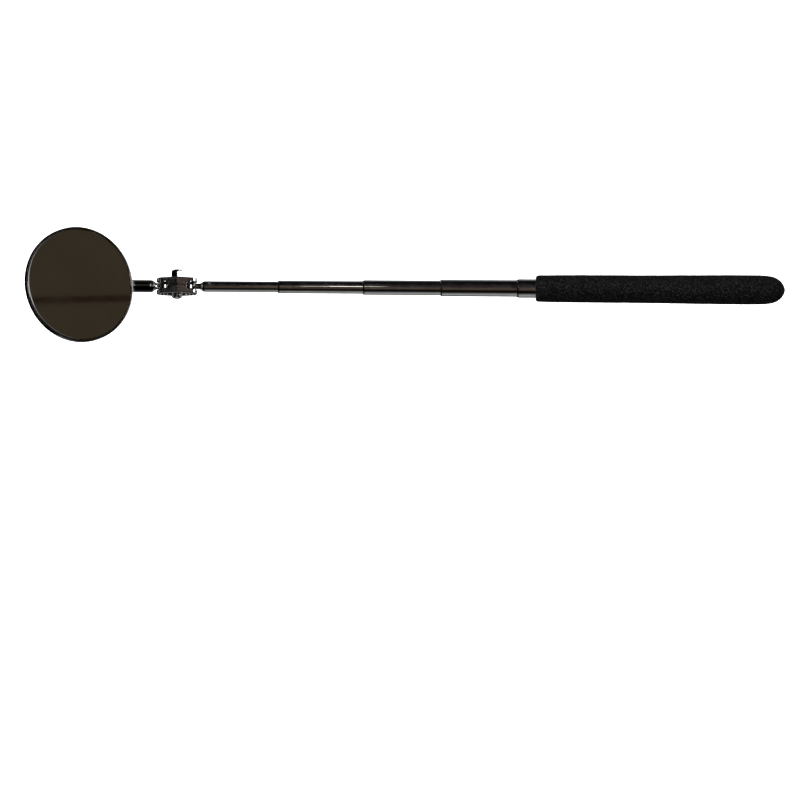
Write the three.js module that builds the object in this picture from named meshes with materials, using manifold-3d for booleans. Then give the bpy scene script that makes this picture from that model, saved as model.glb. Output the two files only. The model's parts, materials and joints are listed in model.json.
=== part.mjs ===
// Telescoping inspection mirror: a soft grip, five nested tubes, a double ball joint and a round
// mirror. Millimetres, +Z up. The rod runs along X with the mirror at -X, drawn out to full length,
// and the mirror looks up. Every piece is drawn along +X from its own origin and then placed.
import * as THREE from 'three';
import { mergeVertices } from 'three/addons/utils/BufferGeometryUtils.js';
import Module from 'manifold-3d';

const wasm = await Module();
wasm.setup();

// ---- driving dimensions -------------------------------------------------------------------

const ROUND = 36; // facets around the tubes and the grip
const FINE_ROUND = 72; // facets around the mirror
const SMALL_ROUND = 24; // facets around studs, pins and holes
const FIT = 0.02; // radial gap between pieces that are pressed together

// Telescoping rod. Index 0 is the thinnest tube, index 4 the one fixed in the grip.
const TUBE_RADIUS = 2.7;
const TUBE_STEP = 0.4875; // each tube's radius over the one inside it
const TUBE_WALL = 0.32;
const SHOWN = [36.9, 41.8, 38.2, 37.6]; // length of each moving tube outside the next, drawn out
const HELD = 12.4; // length of each moving tube inside the next, drawn out
const RIM_LENGTH = 1.1; // rolled-in mouth of each tube
const RIM_GAP = 0.05;
const SLEEVE_LENGTH = 9.0;
const SLEEVE_WALL = 0.12;
const OUTER_SHOWN = 9.2; // fixed tube in front of the grip
const OUTER_LENGTH = 118.0;
const CLOSED_SHOWN = [7.1, 1.4, 1.4, 1.4]; // what stays outside the next tube, pushed in
const STOP_LENGTH = 7.0;
const STOP_GAP = 0.3;

// Grip
const GRIP_LENGTH = 122.7;
const GRIP_FRONT_RADIUS = 6.65;
const GRIP_RADIUS = 7.4;
const GRIP_DOME = 17.4; // length of the domed end
const GRIP_CORNER = 1.4;

// Double ball joint
const BALL_RADIUS = 3.175;
const BALL_SPACING = 12.65;
const SOCKET_RADIUS = 3.225;
const PLATE_HALF_WIDTH = 5.1; // at the screw
const PLATE_END_RADIUS = 3.75; // around each ball
const PLATE_FACE = 4.0; // outer face, from the middle of the clamp
const PLATE_SKIN = 1.1;
const SIDE_WALL = 0.7; // thinnest part of the closed sides
const SOCKET_WEB = 0.85; // wall between each ball's seat and the hollow at the screw
const PLATE_SEAM = 0.15; // half the gap between the two closed sides
const PLATE_BEVEL = 0.45;
const SIDE_WALL_REACH = 4.5; // the closed sides end this far from the screw
const NECK_GAP = 2.2; // half the open height beside the balls
const BALL_WINDOW = 1.95; // radius of the hole the ball shows through
const CLAMP_ROLL = THREE.MathUtils.degToRad(12); // screw's lean from level
const SCREW_RADIUS = 1.45;
const SCREW_HEAD_RADIUS = 2.7;
const SCREW_HEAD_HEIGHT = 2.2;
const NUT_FLATS = 5.5;
const NUT_HEIGHT = 4.2;
const INSERT_HEIGHT = 1.1;
const INSERT_RADIUS = 2.0;

// Stud between the rod and its ball
const STUD_NECK_RADIUS = 1.75;
const STUD_REACH = 6.3; // ball centre to the mouth of tube 1
const PLUG_LENGTH = 7.0;
const SPIGOT_RADIUS = 0.98; // end of each stud, inside its ball
const PIN_RADIUS = 0.5;
const PIN_SETBACK = 3.1; // pin's distance from the mouth of tube 1
const PIN_TURN = THREE.MathUtils.degToRad(45); // pin's lean from upright, toward +Y

// Mirror head
const MIRROR_RADIUS = 28.575; // 2 1/4 inch disc
const MIRROR_REACH = 47.3; // ball centre to the disc's centre
const MIRROR_RISE = THREE.MathUtils.degToRad(24.9); // stem's climb away from the joint
const MIRROR_LEAN = THREE.MathUtils.degToRad(9.3); // disc's turn about the stem
const STEM_RADIUS = 3.1;
const STEM_NECK_RADIUS = 1.6;
const SHOULDER_START = 3.8; // where the neck begins to swell into the stem
const SHOULDER_END = 7.2;
const STEM_END = 17.9; // end of the full round, just short of the disc
const TONGUE_THICKNESS = 1.4;
const TONGUE_WIDTH = 6.0;
const TONGUE_END = 31.0;
const RIVET_AT = 26.0;
const RIVET_RADIUS = 1.5;
const RIVET_HEAD = 2.6;
const SADDLE_SKIN = 0.7;
const SADDLE_LENGTH = 14.0;
const SADDLE_HALF_WIDTH = 8.0;
const CASE_SKIN = 0.475;
const CASE_CORNER = 1.2; // rounded back edge of the case
const LIP_RADIUS = 27.6; // inner edge of the case's rolled rim
const CASE_BACK = TONGUE_THICKNESS / 2 + FIT; // back of the case above the stem's axis
const CUSHION_HEIGHT = 0.8;
const GLASS_HEIGHT = 2.1;
const GLASS_RADIUS = 28.0;
const GLASS_FLAT_RADIUS = 27.5; // the ground edge under the rim starts here

// ---- helpers ------------------------------------------------------------------------------

function signedVolume(geometry) {
  const corner = geometry.getAttribute('position');
  const index = geometry.getIndex();
  const [a, b, c] = [new THREE.Vector3(), new THREE.Vector3(), new THREE.Vector3()];
  let volume = 0;
  for (let i = 0; i < index.count; i += 3) {
    a.fromBufferAttribute(corner, index.getX(i));
    b.fromBufferAttribute(corner, index.getX(i + 1));
    c.fromBufferAttribute(corner, index.getX(i + 2));
    volume += a.dot(b.cross(c)) / 6;
  }
  return volume;
}

// Joins a shape's shared corners and turns its faces outward.
function closed(geometry) {
  const bare = geometry.clone();
  bare.deleteAttribute('normal');
  bare.deleteAttribute('uv');
  const joined = mergeVertices(bare, 1e-5);
  if (signedVolume(joined) < 0) {
    const index = joined.getIndex();
    for (let i = 0; i < index.count; i += 3) {
      const first = index.getX(i);
      index.setX(i, index.getX(i + 2));
      index.setX(i + 2, first);
    }
  }
  return joined;
}

function solid(geometry) {
  const shape = closed(geometry);
  return new wasm.Manifold(new wasm.Mesh({
    numProp: 3,
    vertProperties: new Float32Array(shape.getAttribute('position').array),
    triVerts: new Uint32Array(shape.getIndex().array),
  }));
}

function geometryOf(manifold) {
  const mesh = manifold.getMesh();
  const geometry = new THREE.BufferGeometry();
  geometry.setAttribute('position', new THREE.BufferAttribute(mesh.vertProperties, 3));
  geometry.setIndex(new THREE.BufferAttribute(mesh.triVerts, 1));
  return geometry;
}

function cut(base, ...tools) {
  return geometryOf(tools.reduce((left, tool) => left.subtract(solid(tool)), solid(base)));
}

// Turns a profile of [radius, distance] points about the X axis.
function turned(profile, facets = ROUND) {
  const points = profile.map(([radius, along]) => new THREE.Vector2(radius, along));
  return new THREE.LatheGeometry(points, facets).rotateZ(-Math.PI / 2);
}

// A closed ring is a profile that comes back to its first point.
function turnedRing(profile, facets = ROUND) {
  return turned([...profile, profile[0]], facets);
}

function rod(radius, start, end, facets = SMALL_ROUND) {
  return turned([[0, start], [radius, start], [radius, end], [0, end]], facets);
}

function uprightRod(radius, bottom, top, facets = SMALL_ROUND) {
  return rod(radius, bottom, top, facets).rotateY(-Math.PI / 2);
}

function block(low, high) {
  const size = high.map((value, axis) => value - low[axis]);
  const middle = high.map((value, axis) => (value + low[axis]) / 2);
  return new THREE.BoxGeometry(...size).translate(...middle);
}

// Points on an arc about [radius, distance] middle; angles in degrees from the outward radius.
function arc(middle, radius, from, to, steps) {
  return Array.from({ length: steps + 1 }, (_, i) => {
    const angle = THREE.MathUtils.degToRad(from + ((to - from) * i) / steps);
    return [middle[0] + radius * Math.cos(angle), middle[1] + radius * Math.sin(angle)];
  });
}

function pinRod(radius, reach) {
  return uprightRod(radius, -reach, reach).rotateX(-PIN_TURN);
}

function piece(name, geometry, look) {
  const mesh = new THREE.Mesh(closed(geometry), new THREE.MeshStandardMaterial(look));
  mesh.name = name;
  return mesh;
}

const CHROME = { color: 0xc9cbcd, roughness: 0.12, metalness: 1 };
const STEEL = { color: 0xa9abae, roughness: 0.35, metalness: 1 };
const BRONZE = { color: 0xb0824a, roughness: 0.4, metalness: 1 };
const BLACK_FOAM = { color: 0x161616, roughness: 0.95, metalness: 0 };
const SILVERED = { color: 0xd4d8da, roughness: 0.03, metalness: 1 };
const PAD = { color: 0x3a3a38, roughness: 0.9, metalness: 0 };
const NYLON = { color: 0x8a7355, roughness: 0.6, metalness: 0 };

// ---- rod ----------------------------------------------------------------------------------

const tubeRadius = (index) => TUBE_RADIUS + index * TUBE_STEP;
const tubeBore = (index) => tubeRadius(index) - TUBE_WALL;
const tubeLength = (index) => SHOWN[index] + HELD;

// A tube from its mouth at 0: the wall turns in at the mouth to run on the next smaller tube.
function rolledTube(index, length) {
  const radius = tubeRadius(index);
  const bore = tubeBore(index);
  const mouth = tubeRadius(index - 1) + RIM_GAP;
  return turnedRing([
    [mouth, 0.12],
    [mouth + 0.12, 0],
    ...arc([radius - 0.35, 0.35], 0.35, -75, 0, 4),
    [radius, length],
    [bore, length],
    [bore, RIM_LENGTH],
    [mouth, RIM_LENGTH - 0.25],
  ]);
}

// The thinnest tube has a plain chamfered mouth closed on the stud's plug by a cross pin.
function pinnedTube() {
  const tube = turnedRing([
    [tubeBore(0), 0],
    [TUBE_RADIUS - 0.25, 0],
    [TUBE_RADIUS, 0.9],
    [TUBE_RADIUS, tubeLength(0)],
    [tubeBore(0), tubeLength(0)],
  ]);
  const pinHole = pinRod(PIN_RADIUS + FIT, 4).translate(PIN_SETBACK, 0, 0);
  return cut(tube, pinHole);
}

// Split spring sleeve near a tube's inner end, filling the gap to the next tube.
function frictionSleeve(index) {
  const inside = tubeRadius(index) + FIT;
  const end = tubeLength(index) - 0.6;
  const ring = turnedRing([
    [inside, end - SLEEVE_LENGTH],
    [inside + SLEEVE_WALL, end - SLEEVE_LENGTH],
    [inside + SLEEVE_WALL, end],
    [inside, end],
  ]);
  const slit = block([end - SLEEVE_LENGTH - 1, -0.25, 0], [end + 1, 0.25, 8]);
  return cut(ring, slit);
}

// Plug in the fixed tube, just behind the deepest tube when all are pushed in.
function stopPlug() {
  const closedEnds = CLOSED_SHOWN.map((_, index) => {
    const inFront = CLOSED_SHOWN.slice(index).reduce((sum, shown) => sum + shown, 0);
    return tubeLength(index) - inFront;
  });
  const start = Math.max(...closedEnds) + STOP_GAP;
  return rod(tubeBore(4) - FIT, start, start + STOP_LENGTH, ROUND);
}

// ---- grip ---------------------------------------------------------------------------------

// Radius of the grip at a distance from its front: a slow swell, then a blunt dome.
function gripRadius(along) {
  const domeStart = GRIP_LENGTH - GRIP_DOME;
  if (along <= domeStart) {
    const swell = Math.pow(along / domeStart, 0.7);
    return THREE.MathUtils.lerp(GRIP_FRONT_RADIUS, GRIP_RADIUS, swell);
  }
  const progress = (along - domeStart) / GRIP_DOME;
  return GRIP_RADIUS * Math.pow(1 - Math.pow(progress, 4.5), 0.65);
}

function grip() {
  const bore = tubeRadius(4) + FIT;
  const boreEnd = OUTER_LENGTH - OUTER_SHOWN + 0.3;
  const straight = [0.15, 0.35, 0.6, 0.85].map((part) => part * (GRIP_LENGTH - GRIP_DOME));
  const dome = [0.3, 0.5, 0.65, 0.78, 0.87, 0.93, 0.97, 0.99]
    .map((part) => GRIP_LENGTH - GRIP_DOME * (1 - part));
  const skin = [...straight, GRIP_LENGTH - GRIP_DOME, ...dome]
    .map((along) => [gripRadius(along), along]);
  return turned([
    [0, boreEnd],
    [bore, boreEnd],
    [bore, 0.3],
    [bore + 0.3, 0],
    ...arc([GRIP_FRONT_RADIUS - GRIP_CORNER, GRIP_CORNER], GRIP_CORNER, -90, 0, 4),
    ...skin,
    [0, GRIP_LENGTH],
  ]);
}

// ---- double ball joint --------------------------------------------------------------------

// Ball with a flat where its neck leaves along +X and a blind bore for the neck's spigot.
function ball(neckRadius) {
  const flat = Math.sqrt(BALL_RADIUS ** 2 - neckRadius ** 2);
  const bore = SPIGOT_RADIUS + FIT;
  const start = THREE.MathUtils.radToDeg(Math.asin(flat / BALL_RADIUS));
  return turned([
    [0, 0.2],
    [bore, 0.2],
    [bore, flat],
    ...arc([0, 0], BALL_RADIUS, start, -80, 12),
    [0, -BALL_RADIUS],
  ], 32);
}

function neckStart(neckRadius) {
  return Math.sqrt(BALL_RADIUS ** 2 - neckRadius ** 2) + FIT;
}

// Stud: spigot in the ball, neck, and the plug pinned in tube 1.
function ballStud() {
  const neck = neckStart(STUD_NECK_RADIUS);
  const plug = tubeBore(0) - FIT;
  const end = STUD_REACH + PLUG_LENGTH;
  const body = turned([
    [0, 0.3],
    [SPIGOT_RADIUS, 0.3],
    [SPIGOT_RADIUS, neck],
    [STUD_NECK_RADIUS, neck],
    [STUD_NECK_RADIUS, STUD_REACH - 0.3],
    [plug, STUD_REACH + 0.2],
    [plug, end - 0.4],
    [plug - 0.4, end],
    [0, end],
  ], ROUND);
  const pinHole = pinRod(PIN_RADIUS + FIT, 4).translate(STUD_REACH + PIN_SETBACK, 0, 0);
  return cut(body, pinHole);
}

// Long hexagon with its corners at the screw and round ends about the balls.
function plateOutline(inset) {
  const half = BALL_SPACING / 2;
  const radius = PLATE_END_RADIUS - inset;
  const lean = Math.asin((PLATE_HALF_WIDTH - PLATE_END_RADIUS) / half);
  const corner = radius / Math.cos(lean) + half * Math.tan(lean);
  const outline = new THREE.Shape();
  outline.moveTo(0, -corner);
  outline.absarc(half, 0, radius, -Math.PI / 2 + lean, Math.PI / 2 - lean, false);
  outline.lineTo(0, corner);
  outline.absarc(-half, 0, radius, Math.PI / 2 + lean, (3 * Math.PI) / 2 - lean, false);
  outline.closePath();
  return outline;
}

// One half of the clamp: a bevelled skin with side walls between the balls, open round their
// necks, a seat and a window for each ball, and the screw's hole.
function clampPlate() {
  const half = BALL_SPACING / 2;
  const slab = new THREE.ExtrudeGeometry(plateOutline(PLATE_BEVEL), {
    depth: PLATE_FACE,
    bevelThickness: PLATE_BEVEL,
    bevelSize: PLATE_BEVEL,
    bevelSegments: 2,
    curveSegments: 10,
  }).translate(0, 0, -PLATE_BEVEL);
  const hollowHalfLength = half - SOCKET_RADIUS - SOCKET_WEB;
  const hollowHalfWidth = PLATE_END_RADIUS - SIDE_WALL;
  const hollow = block(
    [-hollowHalfLength, -hollowHalfWidth, -1],
    [hollowHalfLength, hollowHalfWidth, PLATE_FACE - PLATE_SKIN],
  );
  const tools = [
    block([-20, -20, -2], [20, 20, PLATE_SEAM]),
    hollow,
    uprightRod(SCREW_RADIUS + 0.1, -1, 6),
  ];
  for (const side of [-1, 1]) {
    const near = Math.min(side * SIDE_WALL_REACH, side * 20);
    const far = Math.max(side * SIDE_WALL_REACH, side * 20);
    tools.push(block([near, -20, -1], [far, 20, NECK_GAP]));
    tools.push(new THREE.SphereGeometry(SOCKET_RADIUS, 32, 18).translate(side * half, 0, 0));
    const window = turned([[0, 2], [BALL_WINDOW, 2], [BALL_WINDOW, 3.5], [2.55, 4.1], [0, 4.1]], 28);
    tools.push(window.rotateY(-Math.PI / 2).translate(side * half, 0, 0));
  }
  return cut(slab, ...tools);
}

// Pan head under the far plate, cross recess, and a shank that ends in the nut's mouth.
function clampScrew() {
  const seat = -PLATE_FACE - FIT;
  const bottom = seat - SCREW_HEAD_HEIGHT;
  const shankEnd = PLATE_FACE + NUT_HEIGHT - 0.5;
  const screw = turned([
    [0, bottom],
    [SCREW_HEAD_RADIUS * 0.62, bottom + 0.08],
    [SCREW_HEAD_RADIUS * 0.88, bottom + 0.45],
    [SCREW_HEAD_RADIUS, bottom + 1.05],
    [SCREW_HEAD_RADIUS, seat],
    [SCREW_RADIUS, seat],
    [SCREW_RADIUS, shankEnd - 0.3],
    [SCREW_RADIUS - 0.3, shankEnd],
    [0, shankEnd],
  ], SMALL_ROUND).rotateY(-Math.PI / 2);
  const reach = 1.35;
  const slot = 0.3;
  const depth = bottom + 0.95;
  return cut(
    screw,
    block([-reach, -slot, bottom - 1], [reach, slot, depth]),
    block([-slot, -reach, bottom - 1], [slot, reach, depth]),
  );
}

// Tall hexagon about the screw's axis with chamfered corners and a wider mouth for its insert.
function clampNut() {
  const bottom = PLATE_FACE + FIT;
  const top = PLATE_FACE + NUT_HEIGHT;
  const cornerRadius = NUT_FLATS / 2 / Math.cos(Math.PI / 6);
  const hexagon = uprightRod(cornerRadius, bottom, top, 6).rotateZ(Math.PI / 6);
  const chamfered = turned([
    [0, bottom],
    [NUT_FLATS / 2, bottom],
    [cornerRadius, bottom + 0.3],
    [cornerRadius, top - 1.2],
    [NUT_FLATS / 2 - 0.1, top - 0.55],
    [NUT_FLATS / 2 - 0.35, top],
    [0, top],
  ], SMALL_ROUND).rotateY(-Math.PI / 2);
  const threadHole = uprightRod(SCREW_RADIUS + FIT, 0, 20);
  const mouth = uprightRod(INSERT_RADIUS, top - INSERT_HEIGHT, top + 1);
  return geometryOf(
    solid(hexagon).intersect(solid(chamfered)).subtract(solid(threadHole)).subtract(solid(mouth)),
  );
}

// Locking ring in the nut's mouth, a little below its rim.
function nutInsert() {
  const mouth = PLATE_FACE + NUT_HEIGHT;
  const bottom = mouth - INSERT_HEIGHT + FIT;
  const top = mouth - 0.15;
  return turnedRing([
    [SCREW_RADIUS + FIT, bottom],
    [INSERT_RADIUS - FIT, bottom],
    [INSERT_RADIUS - FIT, top],
    [SCREW_RADIUS + FIT, top],
  ], SMALL_ROUND).rotateY(-Math.PI / 2);
}

// ---- mirror head --------------------------------------------------------------------------
// Drawn with its ball at the origin, the stem along +X and the glass looking up.

// The stem swells out of its neck in a smooth shoulder.
function shoulder(steps) {
  return Array.from({ length: steps + 1 }, (_, i) => {
    const swell = (1 - Math.cos((Math.PI * i) / steps)) / 2;
    return [
      THREE.MathUtils.lerp(STEM_NECK_RADIUS, STEM_RADIUS, swell),
      THREE.MathUtils.lerp(SHOULDER_START, SHOULDER_END, i / steps),
    ];
  });
}

function mirrorStem() {
  const neck = neckStart(STEM_NECK_RADIUS);
  const round = turned([
    [0, 0.3],
    [SPIGOT_RADIUS, 0.3],
    [SPIGOT_RADIUS, neck],
    [STEM_NECK_RADIUS, neck],
    ...shoulder(5),
    [STEM_RADIUS, STEM_END - 0.8],
    [STEM_RADIUS - 0.5, STEM_END],
    [0, STEM_END],
  ], ROUND);
  const half = TONGUE_WIDTH / 2;
  const tongue = new THREE.Shape();
  tongue.moveTo(STEM_END - 1, -half);
  tongue.absarc(TONGUE_END - half, 0, half, -Math.PI / 2, Math.PI / 2, false);
  tongue.lineTo(STEM_END - 1, half);
  tongue.closePath();
  const flat = new THREE.ExtrudeGeometry(tongue, {
    depth: TONGUE_THICKNESS,
    bevelEnabled: false,
    curveSegments: 10,
  }).translate(0, 0, -TONGUE_THICKNESS / 2);
  const rivetHole = uprightRod(RIVET_RADIUS + FIT, -3, 3).translate(RIVET_AT, 0, 0);
  return geometryOf(solid(round).add(solid(flat)).subtract(solid(rivetHole)));
}

// Hat-shaped strap over the stem's tongue, its two wings flat on the case.
function stemSaddle() {
  const wing = CASE_BACK - FIT;
  const inside = TONGUE_WIDTH / 2 + FIT;
  const outside = inside + SADDLE_SKIN;
  const roof = -TONGUE_THICKNESS / 2 - FIT;
  const hat = new THREE.Shape([
    [-SADDLE_HALF_WIDTH, wing],
    [-SADDLE_HALF_WIDTH, wing - SADDLE_SKIN],
    [-outside, wing - SADDLE_SKIN],
    [-outside + 0.5, roof - SADDLE_SKIN],
    [outside - 0.5, roof - SADDLE_SKIN],
    [outside, wing - SADDLE_SKIN],
    [SADDLE_HALF_WIDTH, wing - SADDLE_SKIN],
    [SADDLE_HALF_WIDTH, wing],
    [inside, wing],
    [inside, roof],
    [-inside, roof],
    [-inside, wing],
  ].map(([across, up]) => new THREE.Vector2(across, up)));
  const strap = new THREE.ExtrudeGeometry(hat, { depth: SADDLE_LENGTH, bevelEnabled: false })
    .rotateX(Math.PI / 2)
    .rotateZ(Math.PI / 2)
    .translate(RIVET_AT - SADDLE_LENGTH / 2, 0, 0);
  const rivetHole = uprightRod(RIVET_RADIUS + FIT, -5, 5).translate(RIVET_AT, 0, 0);
  return cut(strap, rivetHole);
}

// Rivet through saddle, tongue and case, with a flat head inside and a domed one behind.
function stemRivet() {
  const insideHead = CASE_BACK + CASE_SKIN + FIT;
  const outsideHead = -TONGUE_THICKNESS / 2 - SADDLE_SKIN - 2 * FIT;
  return turned([
    [0, outsideHead - 1.1],
    [RIVET_HEAD * 0.6, outsideHead - 0.9],
    [RIVET_HEAD * 0.92, outsideHead - 0.45],
    [RIVET_HEAD, outsideHead],
    [RIVET_RADIUS, outsideHead],
    [RIVET_RADIUS, insideHead],
    [RIVET_HEAD, insideHead],
    [RIVET_HEAD, insideHead + 0.5],
    [0, insideHead + 0.5],
  ], SMALL_ROUND).rotateY(-Math.PI / 2).translate(RIVET_AT, 0, 0);
}

// Stamped cup with a rounded back edge and a thin rim rolled over the glass.
function mirrorCase() {
  const wall = MIRROR_RADIUS - CASE_SKIN;
  const glassTop = CASE_SKIN + CUSHION_HEIGHT + GLASS_HEIGHT + 3 * FIT;
  const cup = turned([
    [0, 0],
    ...arc([MIRROR_RADIUS - CASE_CORNER, CASE_CORNER], CASE_CORNER, -90, 0, 4),
    ...arc([wall, glassTop - 0.1], CASE_SKIN, 0, 90, 4),
    [LIP_RADIUS, glassTop + 0.3],
    [LIP_RADIUS, glassTop],
    [wall, glassTop],
    [wall, CASE_SKIN + 0.6],
    [wall - 0.6, CASE_SKIN],
    [0, CASE_SKIN],
  ], FINE_ROUND).rotateY(-Math.PI / 2);
  const rivetHole = uprightRod(RIVET_RADIUS + FIT, -5, 5).translate(RIVET_AT - MIRROR_REACH, 0, 0);
  return cut(cup, rivetHole).translate(MIRROR_REACH, 0, CASE_BACK);
}

function mirrorCushion() {
  const bottom = CASE_BACK + CASE_SKIN + FIT;
  const disc = uprightRod(GLASS_RADIUS - 0.8, bottom, bottom + CUSHION_HEIGHT, FINE_ROUND / 2)
    .translate(MIRROR_REACH, 0, 0);
  const hole = uprightRod(RIVET_HEAD + 0.3, -5, 10).translate(RIVET_AT, 0, 0);
  return cut(disc, hole);
}

function mirrorGlass() {
  const bottom = CASE_BACK + CASE_SKIN + CUSHION_HEIGHT + 2 * FIT;
  const top = bottom + GLASS_HEIGHT - FIT;
  return turned([
    [0, bottom],
    [GLASS_RADIUS, bottom],
    [GLASS_RADIUS, top - 0.25],
    [GLASS_FLAT_RADIUS, top],
    [0, top],
  ], FINE_ROUND).rotateY(-Math.PI / 2).translate(MIRROR_REACH, 0, 0);
}

// ---- assembly -----------------------------------------------------------------------------
// Distances along X from the ball at the rod's end.

const mouths = SHOWN.reduce((list, shown) => [...list, list.at(-1) + shown], [STUD_REACH]);
const gripStart = mouths[4] + OUTER_SHOWN;

function rodPieces() {
  const pieces = [
    piece('tube_1', pinnedTube(), CHROME),
    piece('tube_2', rolledTube(1, tubeLength(1)), CHROME),
    piece('tube_3', rolledTube(2, tubeLength(2)), CHROME),
    piece('tube_4', rolledTube(3, tubeLength(3)), CHROME),
    piece('outer_tube', rolledTube(4, OUTER_LENGTH), CHROME),
  ];
  pieces.forEach((tube, index) => tube.position.setX(mouths[index]));
  SHOWN.forEach((_, index) => {
    const sleeve = piece(`friction_sleeve_${index + 1}`, frictionSleeve(index), BRONZE);
    sleeve.position.setX(mouths[index]);
    pieces.push(sleeve);
  });
  const plug = piece('stop_plug', stopPlug(), STEEL);
  plug.position.setX(mouths[4]);
  const stud = piece('ball_stud', ballStud(), CHROME);
  const pin = piece('crimp_pin', pinRod(PIN_RADIUS, TUBE_RADIUS), STEEL);
  pin.position.setX(STUD_REACH + PIN_SETBACK);
  return [...pieces, plug, stud, pin];
}

// The clamp is drawn with its screw along Z, then rolled so that the nut points along +Y.
function clampPieces() {
  const clamp = new THREE.Group();
  clamp.rotation.x = -Math.PI / 2 - CLAMP_ROLL;
  clamp.position.setX(-BALL_SPACING / 2);
  const nutSide = piece('clamp_plate_nut_side', clampPlate(), CHROME);
  const headSide = piece('clamp_plate_head_side', clampPlate().rotateX(Math.PI), CHROME);
  clamp.add(
    nutSide,
    headSide,
    piece('clamp_screw', clampScrew(), CHROME),
    piece('clamp_nut', clampNut(), CHROME),
    piece('nut_insert', nutInsert(), NYLON),
  );
  return clamp;
}

// The head points back along -X, climbs away from the joint and leans about its stem.
function mirrorHead() {
  const head = new THREE.Group();
  head.add(
    piece('mirror_ball', ball(STEM_NECK_RADIUS), CHROME),
    piece('mirror_stem', mirrorStem(), CHROME),
    piece('stem_saddle', stemSaddle(), STEEL),
    piece('stem_rivet', stemRivet(), STEEL),
    piece('mirror_case', mirrorCase(), CHROME),
    piece('mirror_cushion', mirrorCushion(), PAD),
    piece('mirror_glass', mirrorGlass(), SILVERED),
  );
  const along = new THREE.Vector3(-Math.cos(MIRROR_RISE), 0, Math.sin(MIRROR_RISE));
  const across = new THREE.Vector3(0, -1, 0);
  const face = new THREE.Vector3().crossVectors(along, across);
  head.quaternion.setFromRotationMatrix(new THREE.Matrix4().makeBasis(along, across, face));
  head.rotateX(MIRROR_LEAN);
  head.position.setX(-BALL_SPACING);
  return head;
}

const tool = new THREE.Group();
const gripPiece = piece('grip', grip(), BLACK_FOAM);
gripPiece.position.setX(gripStart);
tool.add(
  gripPiece,
  ...rodPieces(),
  piece('handle_ball', ball(STUD_NECK_RADIUS), CHROME),
  clampPieces(),
  mirrorHead(),
);

// The origin is under the middle of the whole tool, at the level of its lowest point.
const bounds = new THREE.Box3().setFromObject(tool, true);
const middle = bounds.getCenter(new THREE.Vector3());
tool.position.set(-middle.x, -middle.y, -bounds.min.z);

const part = new THREE.Group();
part.name = 'telescoping_inspection_mirror';
part.add(tool);

export default part;
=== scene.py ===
"""Looks for the telescoping inspection mirror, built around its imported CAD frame."""
import json
import math

import bpy
import bmesh
from mathutils import Matrix, Vector, noise

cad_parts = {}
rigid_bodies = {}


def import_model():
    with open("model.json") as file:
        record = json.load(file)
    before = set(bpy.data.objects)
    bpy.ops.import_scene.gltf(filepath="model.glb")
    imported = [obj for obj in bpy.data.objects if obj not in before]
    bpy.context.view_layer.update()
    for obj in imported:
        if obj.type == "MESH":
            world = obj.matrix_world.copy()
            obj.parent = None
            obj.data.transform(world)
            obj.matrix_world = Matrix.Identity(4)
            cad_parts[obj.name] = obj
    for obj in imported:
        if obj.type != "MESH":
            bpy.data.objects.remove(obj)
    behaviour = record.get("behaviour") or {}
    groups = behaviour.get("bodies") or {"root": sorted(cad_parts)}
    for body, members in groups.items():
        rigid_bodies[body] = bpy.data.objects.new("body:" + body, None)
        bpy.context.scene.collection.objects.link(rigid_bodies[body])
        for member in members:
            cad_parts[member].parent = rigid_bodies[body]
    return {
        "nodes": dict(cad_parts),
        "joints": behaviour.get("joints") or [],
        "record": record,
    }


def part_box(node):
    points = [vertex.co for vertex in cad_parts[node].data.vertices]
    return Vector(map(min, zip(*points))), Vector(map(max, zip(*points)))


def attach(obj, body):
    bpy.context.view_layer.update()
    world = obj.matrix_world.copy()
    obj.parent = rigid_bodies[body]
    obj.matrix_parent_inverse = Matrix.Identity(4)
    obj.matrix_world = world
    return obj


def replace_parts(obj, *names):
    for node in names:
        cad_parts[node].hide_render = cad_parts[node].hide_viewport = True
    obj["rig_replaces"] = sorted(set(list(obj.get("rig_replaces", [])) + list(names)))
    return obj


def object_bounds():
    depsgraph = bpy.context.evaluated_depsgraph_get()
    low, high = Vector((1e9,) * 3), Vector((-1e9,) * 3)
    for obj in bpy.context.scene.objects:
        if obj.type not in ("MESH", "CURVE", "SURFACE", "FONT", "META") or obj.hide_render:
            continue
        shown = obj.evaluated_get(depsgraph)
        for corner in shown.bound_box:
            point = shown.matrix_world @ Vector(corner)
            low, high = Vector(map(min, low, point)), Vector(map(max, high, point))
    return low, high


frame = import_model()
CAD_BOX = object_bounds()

MM = 0.001
RECORD = frame["record"]
JOINTS = {joint["name"]: joint for joint in frame["joints"]}
BODY_OF = {node: body for body, nodes in RECORD["behaviour"]["bodies"].items() for node in nodes}
SLOT_OF = {part["node"]: part["material_slot"] for part in RECORD["subparts"]}

# ---- places: each has its own Z along the axis that its pieces are turned about ------------

WORLD_X = Vector((1, 0, 0))
WORLD_Z = Vector((0, 0, 1))


def place(origin, turn_axis, side):
    """A frame in millimetres at origin, its Z along turn_axis, its X as near side as it can be."""
    z = Vector(turn_axis).normalized()
    x = (Vector(side) - Vector(side).dot(z) * z).normalized()
    y = z.cross(x)
    axes = Matrix((x, y, z)).transposed().to_4x4()
    return Matrix.Translation(origin) @ axes @ Matrix.Scale(MM, 4)


ROD_BALL = Vector(JOINTS["rod_ball_swing"]["pos_m"])
HEAD_BALL = Vector(JOINTS["mirror_ball_swing"]["pos_m"])
SCREW_AXIS = Vector(JOINTS["mirror_ball_swing"]["axis"])
STEM_AXIS = Vector(JOINTS["mirror_ball_turn"]["axis"])
GLASS = RECORD["mounts"][0]
FACE_AXIS = Vector(GLASS["axis"])
DISC_MIDDLE = HEAD_BALL + STEM_AXIS * (Vector(GLASS["pos_m"]) - HEAD_BALL).dot(STEM_AXIS)

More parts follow.
